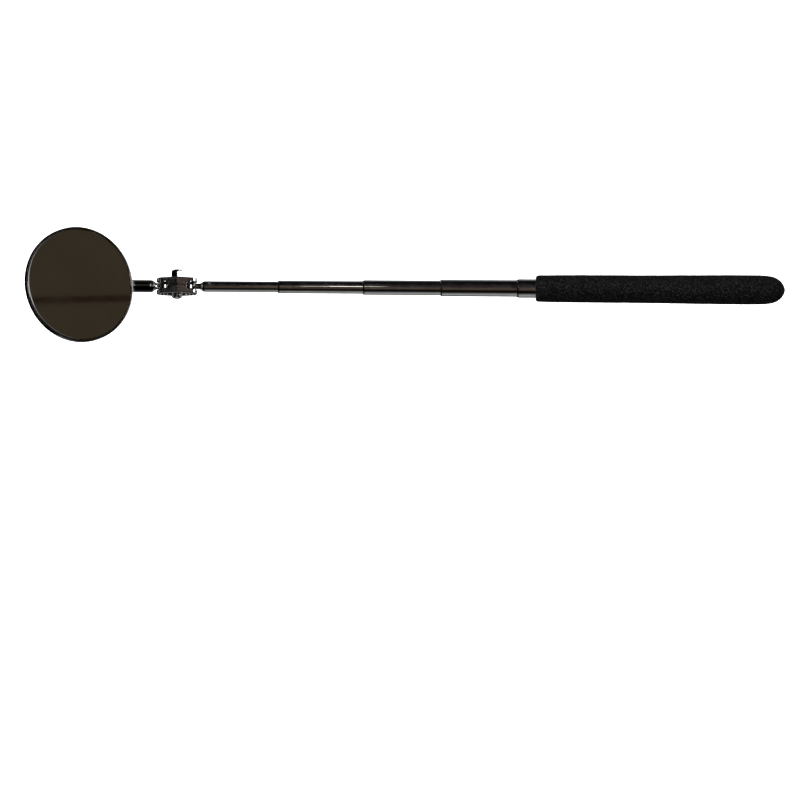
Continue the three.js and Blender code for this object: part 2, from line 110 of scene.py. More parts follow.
ROD = place(ROD_BALL, WORLD_X, WORLD_Z)
CLAMP = place((ROD_BALL + HEAD_BALL) / 2, SCREW_AXIS, WORLD_X)
STEM = place(HEAD_BALL, STEM_AXIS, FACE_AXIS)
BACK = place(HEAD_BALL, FACE_AXIS, STEM_AXIS)
DISC = place(DISC_MIDDLE, FACE_AXIS, STEM_AXIS)


class Measure:
    """A CAD node's size in a place's own millimetres."""

    def __init__(self, node, where):
        inverse = where.inverted()
        points = [inverse @ vertex.co for vertex in frame["nodes"][node].data.vertices]
        self.low = Vector([min(point[axis] for point in points) for axis in range(3)])
        self.high = Vector([max(point[axis] for point in points) for axis in range(3)])
        self.radius = max(math.hypot(point.x, point.y) for point in points)
        self.start = self.low.z
        self.end = self.high.z
        self.longest = self.longest_way(points)

    def longest_way(self, points):
        """The angle about Z of the way in which the node reaches furthest to both sides."""
        spread_x = sum(point.x**2 for point in points)
        spread_y = sum(point.y**2 for point in points)
        slant = sum(point.x * point.y for point in points)
        return math.atan2(2 * slant, spread_x - spread_y) / 2


# ---- shape helpers -------------------------------------------------------------------------


def rounded(corners, closed=False, steps=5):
    """Corners (radius, height, fillet) as a line whose corners are arcs of that fillet."""
    count = len(corners)
    line = []
    for index, (radius, height, fillet) in enumerate(corners):
        point = Vector((radius, height))
        at_end = not closed and index in (0, count - 1)
        if fillet == 0 or at_end:
            line.append(tuple(point))
            continue
        before = Vector(corners[index - 1][:2]) - point
        after = Vector(corners[(index + 1) % count][:2]) - point
        half = before.angle(after) / 2
        reach = min(fillet / math.tan(half), 0.49 * before.length, 0.49 * after.length)
        first = point + before.normalized() * reach
        last = point + after.normalized() * reach
        for step in range(steps + 1):
            part = step / steps
            blend = (1 - part) ** 2 * first + 2 * part * (1 - part) * point + part**2 * last
            line.append(tuple(blend))
    return line


def arc(middle, radius, start, end, steps):
    """Points (radius, height) on an arc; angles in degrees from the outward radius."""
    angles = [math.radians(start + (end - start) * step / steps) for step in range(steps + 1)]
    return [
        (middle[0] + radius * math.cos(angle), middle[1] + radius * math.sin(angle))
        for angle in angles
    ]


def stretch(line, longest):
    """The line with points added, so that no step is longer than longest."""
    fine = [line[0]]
    for before, after in zip(line, line[1:]):
        length = math.dist(before, after)
        parts = max(1, math.ceil(length / longest))
        for part in range(1, parts + 1):
            share = part / parts
            fine.append(tuple(a + (b - a) * share for a, b in zip(before, after)))
    return fine


def new_object(name, mesh):
    obj = bpy.data.objects.new(name, mesh)
    bpy.context.scene.collection.objects.link(obj)
    return obj


def shade(mesh, sharp_degrees=35):
    mesh.shade_smooth()
    mesh.set_sharp_from_angle(angle=math.radians(sharp_degrees))


def outward(mesh):
    """Turns every face of a closed mesh outward."""
    shape = bmesh.new()
    shape.from_mesh(mesh)
    bmesh.ops.remove_doubles(shape, verts=shape.verts, dist=1e-8)
    bmesh.ops.recalc_face_normals(shape, faces=shape.faces)
    shape.to_mesh(mesh)
    shape.free()


def turned(name, where, line, facets=96, ring=False, warp=None):
    """Turns a line of (radius, height) about the place's Z. A ring's line closes on itself.
    warp(radius, angle, height) may give another radius for each point."""
    vertices = []
    rows = []
    for radius, height in line:
        on_axis = radius < 1e-6
        row = []
        for step in range(1 if on_axis else facets):
            angle = math.tau * step / facets
            here = radius if warp is None or on_axis else warp(radius, angle, height)
            point = Vector((here * math.cos(angle), here * math.sin(angle), height))
            row.append(len(vertices))
            vertices.append(where @ point)
        rows.append(row)
    faces = []
    pairs = list(zip(rows, rows[1:]))
    if ring:
        pairs.append((rows[-1], rows[0]))
    for lower, upper in pairs:
        for step in range(facets):
            after = (step + 1) % facets
            corners = [
                lower[step % len(lower)],
                lower[after % len(lower)],
                upper[after % len(upper)],
                upper[step % len(upper)],
            ]
            unique = list(dict.fromkeys(corners))
            if len(unique) > 2:
                faces.append(unique)
    mesh = bpy.data.meshes.new(name)
    mesh.from_pydata(vertices, [], faces)
    outward(mesh)
    shade(mesh)
    return new_object(name, mesh)


def drill(where, radius, low, high, facets=32):
    """A round bar about the place's Z, to cut a hole with."""
    return turned("drill", where, [(0, low), (radius, low), (radius, high), (0, high)], facets)


def stacked(name, where, outlines):
    """Joins outlines [(points, height), ...] with as many points each into one closed body."""
    count = len(outlines[0][0])
    vertices = [where @ Vector((x, y, height)) for points, height in outlines for x, y in points]
    last = count * (len(outlines) - 1)
    faces = [tuple(range(count)), tuple(range(last, last + count))]
    for low in range(0, last, count):
        high = low + count
        for index in range(count):
            after = (index + 1) % count
            faces.append((low + index, low + after, high + after, high + index))
    mesh = bpy.data.meshes.new(name)
    mesh.from_pydata(vertices, [], faces)
    outward(mesh)
    return new_object(name, mesh)


def prism(name, where, outline, bottom, top):
    """A flat outline of (x, y) points raised from bottom to top."""
    obj = stacked(name, where, [(outline, bottom), (outline, top)])
    shade(obj.data)
    return obj


def box(name, where, low, high):
    outline = [(low[0], low[1]), (high[0], low[1]), (high[0], high[1]), (low[0], high[1])]
    return prism(name, where, outline, low[2], high[2])


def settle(obj):
    """Makes an object's modifiers part of its mesh."""
    depsgraph = bpy.context.evaluated_depsgraph_get()
    finished = bpy.data.meshes.new_from_object(obj.evaluated_get(depsgraph))
    obj.modifiers.clear()
    obj.data = finished
    return obj


def combine(obj, tools, operation="DIFFERENCE"):
    """Cuts tools out of an object, or joins them to it, and removes them."""
    for tool in tools:
        cut = obj.modifiers.new("cut", "BOOLEAN")
        cut.operation = operation
        cut.solver = "EXACT"
        cut.object = tool
        settle(obj)
        bpy.data.objects.remove(tool)
    shade(obj.data)
    return obj


def soften(obj, width, crease, angle=40):
    """Rounds the sharp edges of an object, width in millimetres. Edges that bend more than the
    crease, in degrees, stay crisp."""
    bevel = obj.modifiers.new("soften", "BEVEL")
    bevel.width = width * MM
    bevel.segments = 2
    bevel.limit_method = "ANGLE"
    bevel.angle_limit = math.radians(angle)
    settle(obj)
    shade(obj.data, crease)
    return obj


def level_faces(obj):
    """Keeps the shading of large flat faces flat right up to their rounded edges."""
    weigh = obj.modifiers.new("level", "WEIGHTED_NORMAL")
    weigh.keep_sharp = True
    weigh.weight = 100
    return settle(obj)


# ---- materials -----------------------------------------------------------------------------


def ramp_of(tree, value, stops):
    """Colours, or greys, at stops from 0 to 1."""
    node = tree.nodes.new("ShaderNodeValToRGB")
    elements = node.color_ramp.elements
    while len(elements) < len(stops):
        elements.new(0.5)
    for element, (position, colour) in zip(elements, stops):
        element.position = position
        element.color = (*colour[:3], 1) if isinstance(colour, tuple) else grey(colour)
    tree.links.new(value, node.inputs["Fac"])
    return node.outputs["Color"]


def grey(level, warmth=0.0):
    return (level * (1 + warmth), level, level * (1 - warmth), 1)


class Shader:
    """A principled material whose nodes are added one by one."""

    def __init__(self, name):
        self.material = bpy.data.materials.new(name)
        self.material.use_nodes = True
        self.tree = self.material.node_tree
        self.surface = self.tree.nodes["Principled BSDF"]
        self.point = self.tree.nodes.new("ShaderNodeTexCoord").outputs["Object"]

    def fix(self, **values):
        for socket, value in values.items():
            self.surface.inputs[socket.replace("_", " ")].default_value = value
        return self

    def link(self, output, socket):
        self.tree.links.new(output, self.surface.inputs[socket])

    def scaled(self, scale, vector=None):
        mapping = self.tree.nodes.new("ShaderNodeMapping")
        mapping.inputs["Scale"].default_value = scale
        self.tree.links.new(vector or self.point, mapping.inputs["Vector"])
        return mapping.outputs["Vector"]

    def noise(self, scale, detail=4.0, roughness=0.5, vector=None, distortion=0.0):
        node = self.tree.nodes.new("ShaderNodeTexNoise")
        node.inputs["Scale"].default_value = scale
        node.inputs["Detail"].default_value = detail
        node.inputs["Roughness"].default_value = roughness
        node.inputs["Distortion"].default_value = distortion
        self.tree.links.new(vector or self.point, node.inputs["Vector"])
        return node.outputs["Fac"]

    def cells(self, scale, feature="F1", smoothness=None, vector=None):
        node = self.tree.nodes.new("ShaderNodeTexVoronoi")
        node.feature = feature
        node.inputs["Scale"].default_value = scale
        if smoothness is not None:
            node.inputs["Smoothness"].default_value = smoothness
        self.tree.links.new(vector or self.point, node.inputs["Vector"])
        return node.outputs["Distance"]

    def ramp(self, value, stops):
        return ramp_of(self.tree, value, stops)

    def vary(self, socket, value, stops):
        """Lets a socket of the surface follow a value, through a ramp."""
        self.link(self.ramp(value, stops), socket)

    def mix(self, share, first, second):
        node = self.tree.nodes.new("ShaderNodeMix")
        node.inputs[0].default_value = share
        self.tree.links.new(first, node.inputs[2])
        self.tree.links.new(second, node.inputs[3])
        return node.outputs[0]

    def bump(self, height, distance_mm, strength=1.0, below=None):
        node = self.tree.nodes.new("ShaderNodeBump")
        node.inputs["Strength"].default_value = strength
        node.inputs["Distance"].default_value = distance_mm * MM
        self.tree.links.new(height, node.inputs["Height"])
        if below is not None:
            self.tree.links.new(below, node.inputs["Normal"])
        self.tree.links.new(node.outputs["Normal"], self.surface.inputs["Normal"])
        return node.outputs["Normal"]


def chrome(name, grain_scale, dull=0.0):
    """Bright plate: handling smudges, a fine polishing grain and a few deeper scratches."""
    shader = Shader(name).fix(Metallic=1.0)
    smudge = shader.noise(220, detail=5, roughness=0.6, distortion=0.4)
    shader.vary("Base Color", smudge, [(0.3, grey(0.80)), (0.7, grey(0.90, 0.006))])
    rough = [(0.35, 0.03 + dull), (0.6, 0.06 + dull), (0.8, 0.11 + dull)]
    shader.vary("Roughness", smudge, rough)
    grain = shader.noise(1.0, detail=3, vector=shader.scaled(grain_scale))
    polished = shader.bump(grain, 0.0012, strength=0.35)
    scratch = shader.ramp(shader.noise(900, detail=2), [(0.0, 0.0), (0.27, 0.0), (0.3, 1.0)])
    shader.bump(scratch, 0.0015, strength=0.2, below=polished)
    return shader.material


def plain_steel():
    """Plated steel that was never polished: a cloudy dull surface with rolling lines."""
    shader = Shader("plain_steel").fix(Metallic=1.0)
    cloud = shader.noise(400, detail=6, roughness=0.65)
    shader.vary("Base Color", cloud, [(0.3, grey(0.46, 0.01)), (0.7, grey(0.62, 0.01))])
    shader.vary("Roughness", cloud, [(0.3, 0.26), (0.75, 0.42)])
    lines = shader.noise(1.0, detail=2, vector=shader.scaled((300, 4000, 4000)))
    shader.bump(lines, 0.004, strength=0.4)
    return shader.material


def spring_bronze():
    shader = Shader("spring_bronze").fix(Metallic=1.0)
    tarnish = shader.noise(350, detail=5, roughness=0.6)
    stops = [(0.3, (0.42, 0.25, 0.10, 1)), (0.7, (0.62, 0.40, 0.18, 1))]
    shader.vary("Base Color", tarnish, stops)
    shader.vary("Roughness", tarnish, [(0.3, 0.3), (0.7, 0.5)])
    return shader.material


def silvered_glass():
    """A back-silvered mirror: almost perfect, with a faint haze and a few specks of dust."""
    shader = Shader("mirror_silver").fix(Metallic=1.0, Coat_Weight=0.25, Coat_Roughness=0.01)
    haze = shader.noise(60, detail=5, roughness=0.55, distortion=0.6)
    shader.vary("Base Color", haze, [(0.3, (0.80, 0.83, 0.81, 1)), (0.7, (0.85, 0.87, 0.85, 1))])
    clean = shader.ramp(haze, [(0.35, 0.03), (0.75, 0.055)])
    speck = shader.ramp(shader.cells(700), [(0.0, 0.35), (0.06, 0.0)])
    shader.link(shader.mix(0.12, clean, speck), "Roughness")
    return shader.material


def grip_foam():
    """Black closed-cell foam: a fine pebbled skin with small open pores and paler high spots."""
    shader = Shader("grip_foam").fix(Metallic=0.0, Specular_IOR_Level=0.07)
    shader.fix(Sheen_Weight=0.01, Sheen_Roughness=0.45)
    pebble = shader.cells(1500, feature="SMOOTH_F1", smoothness=0.6)
    pore = shader.ramp(shader.cells(2600), [(0.0, 0.0), (0.22, 1.0)])
    patch = shader.noise(700, detail=6, roughness=0.7)
    tone = shader.mix(0.45, shader.ramp(pebble, [(0.15, 1.0), (0.6, 0.0)]), patch)
    stops = [
        (0.3, grey(0.0001)),
        (0.47, (0.0004, 0.0004, 0.0005, 1)),
        (0.57, (0.0018, 0.0018, 0.0020, 1)),
        (0.68, (0.014, 0.014, 0.0155, 1)),
    ]
    shader.vary("Base Color", tone, stops)
    shader.vary("Roughness", patch, [(0.3, 0.62), (0.75, 0.88)])
    skin = shader.bump(pebble, 0.09, strength=0.8)
    skin = shader.bump(patch, 0.07, strength=0.5, below=skin)
    shader.bump(pore, 0.05, strength=0.35, below=skin)
    return shader.material


def foam_pad():
    shader = Shader("pad").fix(Metallic=0.0)
    patch = shader.noise(900, detail=5, roughness=0.7)
    shader.vary("Base Color", patch, [(0.3, grey(0.03)), (0.7, grey(0.06))])
    shader.vary("Roughness", patch, [(0.3, 0.8), (0.7, 0.95)])
    shader.bump(patch, 0.06, strength=0.5)
    return shader.material


def nylon():
    """The nut's locking ring: a slightly clear, warm plastic with fine swirl."""
    shader = Shader("nylon").fix(Metallic=0.0, Specular_IOR_Level=0.5)
    swirl = shader.noise(1400, detail=4, distortion=1.0)
    stops = [(0.3, (0.10, 0.06, 0.035, 1)), (0.7, (0.20, 0.13, 0.075, 1))]
    shader.vary("Base Color", swirl, stops)
    shader.vary("Roughness", swirl, [(0.3, 0.3), (0.7, 0.45)])
    shader.bump(swirl, 0.01, strength=0.4)
    return shader.material


MATERIALS = {
    "chrome_tube": chrome("chrome_tube", grain_scale=(60, 5200, 5200)),
    "chrome_clamp": chrome("chrome_clamp", grain_scale=(900, 3200, 3200), dull=0.01),
    "chrome_hardware": chrome("chrome_hardware", grain_scale=(3500, 900, 3500), dull=0.02),
    "chrome_ball": chrome("chrome_ball", grain_scale=(2600, 2600, 2600)),
    "chrome_head": chrome("chrome_head", grain_scale=(900, 2600, 2600), dull=0.01),
    "plain_steel": plain_steel(),
    "spring_bronze": spring_bronze(),
    "mirror_silver": silvered_glass(),
    "pad": foam_pad(),
    "nylon": nylon(),
    "grip_foam": grip_foam(),
}


def dress(obj, slot):
    obj.data.materials.clear()
    obj.data.materials.append(MATERIALS[slot])


def stands_for(obj, *nodes):
    """The object takes the place, the body and the material slot of these CAD nodes."""
    level_faces(obj)
    dress(obj, SLOT_OF[nodes[0]])
    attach(obj, BODY_OF[nodes[0]])
    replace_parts(obj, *nodes)
    return obj


# ---- grip ----------------------------------------------------------------------------------

GRIP_FACETS = 168
GRIP_STEP = 0.42  # length of the grip's faces, in millimetres
DOME_SHARE = 0.142  # of the grip's length


def grip_radius(share, front, widest):
    """The grip's radius along its length: a slow uneven swell, then a blunt dome."""
    dome_start = 1 - DOME_SHARE
    if share <= dome_start:
        part = share / dome_start
        swell = front + (widest - front) * part**0.7
        return swell + 0.07 * math.sin(math.tau * 1.35 * part + 0.4)
    part = (share - dome_start) / DOME_SHARE
    return widest * (1 - part**4.5) ** 0.65


def foam_skin(radius, angle, height):
    """Soft dents and the pebbled grain of the foam."""
    spot = Vector((radius * math.cos(angle), radius * math.sin(angle), height))
    dent = 0.05 * noise.noise(spot * 0.22)
    pebble = 0.075 * noise.noise(spot * 1.15)
    grain = 0.05 * noise.noise(spot * 2.4)
    return radius - 0.14 + dent + pebble + grain


def make_grip():
    """One closed sleeve: the bore on the outer tube, a rounded front rim, the skin and the dome."""
    cad = Measure("grip", ROD)
    tube = Measure("outer_tube", ROD)
    length = cad.end - cad.start
    bore = tube.radius + 0.03
    bore_end = tube.end + 0.4
    front = cad.radius * 0.9
    corner = 1.4
    rim_share = corner / length
    shares = [rim_share + (1 - rim_share) * step / 60 for step in range(56)]
    shares += [0.94 + 0.06 * math.sin(math.pi / 2 * step / 24) for step in range(25)]
    skin = [
        (grip_radius(share, front, cad.radius - 0.02), cad.start + share * length)
        for share in sorted(set(shares))
        if share < 1
    ]
    rim_radius = skin[0][0] - corner
    face = rounded([(bore + 0.35, cad.start + 0.12, 0.2), (rim_radius, cad.start + 0.1, 0)])
    rim = arc((rim_radius, cad.start + corner), corner, -90, 0, 8)[1:]
    inside = [(0, bore_end), (bore, bore_end), (bore, cad.start + 0.5)]
    outside = stretch(face + rim + skin[1:], GRIP_STEP)
    line = inside + outside + [(0, cad.end - 0.03)]

    def skin_or_bore(radius, angle, height):
        return radius if radius < bore + 0.3 else foam_skin(radius, angle, height)

    sleeve = turned("grip_sleeve", ROD, line, GRIP_FACETS, warp=skin_or_bore)
    stands_for(sleeve, "grip")


# ---- rod -----------------------------------------------------------------------------------

TUBE_WALL = 0.32
ROLLED_TUBES = ("tube_2", "tube_3", "tube_4", "outer_tube")
SPIGOT_RADIUS = 0.98  # of the pin on each neck that a ball is pressed on
NECK_RADIUS = 1.6


def make_rolled_tube(node, inner_node):
    """A tube whose mouth is rolled in to the next smaller tube, which leaves a slight swell."""
    cad = Measure(node, ROD)
    mouth = Measure(inner_node, ROD).radius + 0.05
    radius = cad.radius
    wall = radius - TUBE_WALL
    start = cad.start
    roll_end = start + 0.85
    line = rounded([
        (mouth, start + 0.03, 0.08),
        (radius - 0.26, start, 0.15),
        (radius + 0.03, roll_end, 0.4),
        (radius, start + 2.8, 0.9),
        (radius, cad.end, 0.06),
        (wall, cad.end, 0.06),
        (wall, roll_end + 0.25, 0.1),
        (mouth, roll_end, 0.1),
    ], closed=True)
    stands_for(turned(node + "_chromed", ROD, line, 128, ring=True), node)


DIMPLE_STEP = 0.12  # length of the faces in a dimple, in millimetres
DIMPLE_REACH = 0.95


def dimple(radius, angle, height, where, depth, sides):
    """The radius pressed in by small round dents at height where, at each angle of sides."""
    for side in sides:
        turn = math.remainder(angle - side, math.tau)
        distance = math.hypot(turn * radius, height - where) / DIMPLE_REACH
        if distance < 1:
            radius -= depth * (1 - distance**2) ** 2
    return radius


def make_pinned_tube():
    """The thinnest tube: its mouth spun down on the plug, dented where the cross pin is set."""
    cad = Measure("tube_1", ROD)
    pin = Measure("crimp_pin", ROD)
    pin_at = (pin.start + pin.end) / 2
    radius = cad.radius
    wall = radius - TUBE_WALL
    mouth = cad.start + 0.02
    outside = rounded([
        (wall + 0.05, mouth, 0.05),
        (radius - 0.25, mouth, 0.12),
        (radius, mouth + 0.9, 0.5),
        (radius, cad.end, 0.06),
        (wall, cad.end, 0),
    ])
    near_pin = pin_at + 2
    fine = [point for point in outside if point[1] < near_pin and point[0] > wall + 0.1]
    fine = stretch(fine + [(radius, near_pin)], DIMPLE_STEP)
    line = [outside[0]] + fine + [point for point in outside if point[1] >= near_pin]
    line.append((wall, mouth + 0.1))
    sides = (pin.longest, pin.longest + math.pi)

    def pinched(here, angle, height):
        return dimple(here, angle, height, pin_at, 0.32, sides)

    stands_for(turned("tube_1_chromed", ROD, line, 160, ring=True, warp=pinched), "tube_1")
    thick = (pin.end - pin.start) / 2
    reach = radius - 0.1
    profile = rounded([(0, -reach, 0), (thick, -reach, 0.18), (thick, reach, 0.18), (0, reach, 0)])
    pin_way = ROD.to_3x3() @ Vector((math.cos(pin.longest), math.sin(pin.longest), 0))
    across = place(ROD @ Vector((0, 0, pin_at)), pin_way, WORLD_X)
    stands_for(turned("cross_pin", across, profile, 32), "crimp_pin")


def make_ball_stud():
    cad = Measure("ball_stud", ROD)
    tube = Measure("tube_1", ROD)
    flat = Measure("handle_ball", ROD).end + 0.02
    plug = cad.radius
    line = rounded([
        (0, cad.start, 0),
        (SPIGOT_RADIUS, cad.start, 0.1),
        (SPIGOT_RADIUS, flat, 0.05),
        (NECK_RADIUS, flat, 0.12),
        (NECK_RADIUS - 0.12, flat + 1.1, 0.8),
        (NECK_RADIUS + 0.1, tube.start - 0.7, 0.6),
        (plug - 0.15, tube.start - 0.12, 0.25),
        (plug, tube.start + 0.25, 0.2),
        (plug, cad.end, 0.3),
        (0, cad.end, 0),
    ])
    stands_for(turned("ball_stud_turned", ROD, line, 64), "ball_stud")


def make_ball(name, where, node):
    """A ball with a flat and a bore for its stud; the stud leaves along the place's Z."""
    cad = Measure(node, where)
    flat = cad.end
    radius = cad.radius
    bore = SPIGOT_RADIUS + 0.02
    start = math.degrees(math.asin(flat / radius))
    line = [(0, 0.2), (bore, 0.2)]
    line += rounded([(bore, flat - 0.1, 0), (bore, flat, 0.05), (1.3, flat, 0)])
    line += arc((0, 0), radius, start, -89.5, 40)
    line.append((0, -radius))
    stands_for(turned(name, where, line, 96), node)


# ---- clamp ---------------------------------------------------------------------------------

CLAMP_WINDOW = 1.95  # radius
SCREW_HOLE = 1.55  # radius
NECK_GAP_REACH = 1.825  # how far the open gap round each neck runs in past the ball's middle
NECK_GAP_HEIGHT = 2.2
SOCKET_RADIUS = 3.225
PLATE_ROLL = 0.55  # radius of the plates' rolled edges
END_FACETS = 40
ROLL_STEPS = 13
FAR = 20  # well past the edge of whatever is cut


def plate_outline(half, widest, end_radius, inset):
    """A long hexagon with corners at the screw and round ends about the two balls, each half
    the spacing from the screw."""
    radius = end_radius - inset
    lean = math.acos(end_radius / math.hypot(half, widest)) - math.atan2(half, widest)
    corner = radius / math.cos(lean) + half * math.tan(lean)
    lean = math.degrees(lean)
    right_end = arc((half, 0), radius, lean - 90, 90 - lean, END_FACETS)
    left_end = arc((-half, 0), radius, lean + 90, 270 - lean, END_FACETS)
    return right_end + [(0, corner)] + left_end + [(0, -corner)]


def make_clamp_plate(name, node, side):
    """A stamped half of the clamp: rolled edges, closed sides between the balls, open round the
    necks, with a seat and a window with a turned lip for each ball."""
    where = CLAMP @ Matrix.Rotation(0 if side > 0 else math.pi, 4, "X")
    cad = Measure(node, where)
    half = (HEAD_BALL - ROD_BALL).length / MM / 2
    end_radius = cad.high.x - half
    face = cad.end
    seam = cad.start
    chamfer = 0.12

    def level(inset, height):
        return plate_outline(half, cad.high.y, end_radius, inset), height

    levels = [level(chamfer, seam), level(0, seam + chamfer)]
    for inset, rise in arc((PLATE_ROLL, 0), -PLATE_ROLL, 0, -90, ROLL_STEPS):
        levels.append(level(inset, face - PLATE_ROLL + rise))
    plate = stacked(name, where, levels)

    reach_x = half - SOCKET_RADIUS - 0.85
    reach_y = end_radius - 0.7
    tools = [
        box("hollow", where, (-reach_x, -reach_y, -1), (reach_x, reach_y, face - 1.1)),
        drill(where, SCREW_HOLE, -1, 6, 48),
    ]
    socket = arc((0, 0), SOCKET_RADIUS, -87, 87, 36)
    socket = [(0, -SOCKET_RADIUS)] + socket + [(0, SOCKET_RADIUS)]
    lip = rounded([
        (0, 2, 0),
        (CLAMP_WINDOW, 2, 0),
        (CLAMP_WINDOW, 3.45, 0.5),
        (2.75, face + 0.08, 0),
        (0, face + 0.08, 0),
    ], steps=6)
    for end in (-1, 1):
        near, far = sorted((end * (half - NECK_GAP_REACH), end * FAR))
        tools.append(box("neck_gap", where, (near, -FAR, -1), (far, FAR, NECK_GAP_HEIGHT)))
        seat = where @ Matrix.Translation((end * half, 0, 0))
        tools.append(turned("seat", seat, socket, 72))
        tools.append(turned("window", seat, lip, 72))
    combine(plate, tools)
    soften(plate, 0.07, crease=10)
    stands_for(plate, node)


def threaded(radius, angle, height, start, end, pitch, depth):
    """The radius of a screw thread that fades out at its two ends."""
    if not start < height < end:
        return radius
    turn = (height / pitch - angle / math.tau) % 1
    ridge = abs(2 * turn - 1)
    fade = min(1, (height - start) / pitch, (end - height) / pitch)
    return radius - depth * fade * ridge


def slot_outline(reach, half_width):
    return [(-reach, -half_width), (reach, -half_width), (reach, half_width), (-reach, half_width)]


def make_clamp_screw():
    """A pan head with a cross recess whose walls taper, on a threaded shank."""
    cad = Measure("clamp_screw", CLAMP)
    head = cad.radius
    seat = cad.start + 2.2
    shank = 1.45
    pitch = 0.5
    thread_depth = 0.27
    top = cad.end
    line = [(0, cad.start)]
    for degrees in range(6, 91, 6):
        angle = math.radians(degrees)
        sunk = 1.5 * (1 - math.cos(angle)) ** 1.1
        line.append((head * math.sin(angle) ** 0.75, cad.start + sunk))
    line += rounded([(head, seat - 0.45, 0), (head, seat, 0.12), (shank, seat, 0.1)])
    line += stretch([(shank, seat + 0.1), (shank, top - 0.35)], pitch / 8)
    line += [(shank - 0.3, top), (0, top)]

    def with_thread(radius, angle, height):
        if height <= seat + 0.05 or radius <= shank - 0.05:
            return radius
        return threaded(radius, angle, height, seat + 2, top, pitch, thread_depth)

    screw = turned("clamp_screw_pan_head", CLAMP, line, 48, warp=with_thread)
    reach = 1.35
    slots = []
    for turn in (20, 110):
        where = CLAMP @ Matrix.Rotation(math.radians(turn), 4, "Z")
        mouth = (slot_outline(reach, 0.42), cad.start - 0.5)
        floor = (slot_outline(0.55 * reach, 0.18), cad.start + 1.05)
        slots.append(stacked("recess", where, [mouth, floor]))
    combine(screw, slots)
    stands_for(screw, "clamp_screw")


def make_clamp_nut():
    """Tall hexagon with chamfered corners and a rolled mouth over its insert."""
    cad = Measure("clamp_nut", CLAMP)
    corner = cad.radius
    flats = corner * math.cos(math.pi / 6)
    softest = corner - 0.07
    bottom = cad.start
    top = cad.end
    bore = 1.49
    mouth = 2.0
    mouth_floor = top - 1.1
    line = rounded([
        (bore, bottom, 0.15),
        (flats - 0.1, bottom, 0.05),
        (corner, bottom + 0.35, 0.1),
        (corner, top - 1.35, 0.5),
        (flats - 0.05, top - 0.62, 0.15),
        (flats - 0.3, top - 0.1, 0.3),
        (flats - 0.6, top, 0.15),
        (mouth, top - 0.04, 0.1),
        (mouth, mouth_floor, 0),
        (bore, mouth_floor, 0),
    ], closed=True)
    line = stretch(line + line[:1], 0.2)[:-1]

    def hexagon(radius, angle, height):
        flat = flats / math.cos(math.remainder(angle, math.pi / 3))
        return min(radius, flat, softest) if radius > mouth + 0.1 else radius

    nut = turned("clamp_nut_hexagon", CLAMP, line, 144, ring=True, warp=hexagon)
    stands_for(nut, "clamp_nut")
    ring = Measure("nut_insert", CLAMP)
    hole = bore - 0.02
    profile = rounded([
        (hole, ring.start, 0.05),
        (ring.radius, ring.start, 0.05),
        (ring.radius, ring.end, 0.12),
        (hole, ring.end, 0.25),
    ], closed=True)
    stands_for(turned("nut_locking_ring", CLAMP, profile, 64, ring=True), "nut_insert")


# ---- mirror head ---------------------------------------------------------------------------

RIVET_HOLE = 1.52  # radius


def on_rivet(where):
    """The place, moved along its X to the rivet's axis."""
    rivet = Measure("stem_rivet", where)
    return where @ Matrix.Translation(((rivet.low.x + rivet.high.x) / 2, 0, 0))


def make_stem():
    """Round stem with a neck, a smooth shoulder and a set dent, its end flat under the case."""
    cad = Measure("mirror_stem", STEM)
    flat = Measure("mirror_ball", STEM).end + 0.02
    radius = cad.radius
    swell_start, swell_end, round_end = 3.8, 7.2, 17.9
    dent_at = swell_end + 0.9
    line = rounded([
        (0, cad.start, 0),
        (SPIGOT_RADIUS, cad.start, 0.1),
        (SPIGOT_RADIUS, flat, 0.05),
        (NECK_RADIUS, flat, 0.1),
        (NECK_RADIUS, swell_start - 0.1, 0),
    ])
    for step in range(25):
        part = step / 24
        swell = (1 - math.cos(math.pi * part)) / 2
        height = swell_start + (swell_end - swell_start) * part
        line.append((NECK_RADIUS + (radius - NECK_RADIUS) * swell, height))
    line += stretch([line[-1], (radius, dent_at + 1.5)], DIMPLE_STEP)[1:]
    line += rounded([
        (radius, round_end - 1.0, 0),
        (radius, round_end - 0.9, 0.4),
        (radius - 0.8, round_end, 0.5),
        (0, round_end, 0),
    ])
    apart = [after for before, after in zip(line, line[1:]) if math.dist(before, after) > 1e-4]
    line = [line[0]] + apart

    def dented(here, angle, height):
        return dimple(here, angle, height, dent_at, 0.28, (0, math.pi)) if here > 2.5 else here

    stem = turned("mirror_stem_turned", STEM, line, 144, warp=dented)
    half_width = 3.0
    root = round_end - 1.0
    outline = arc((cad.end - half_width, 0), half_width, -90, 90, 24)
    outline = [(root, -half_width)] + outline + [(root, half_width)]
    combine(stem, [prism("tongue", BACK, outline, -0.7, 0.7)], "UNION")
    combine(stem, [drill(on_rivet(BACK), RIVET_HOLE, -3, 3)])
    stands_for(stem, "mirror_stem")


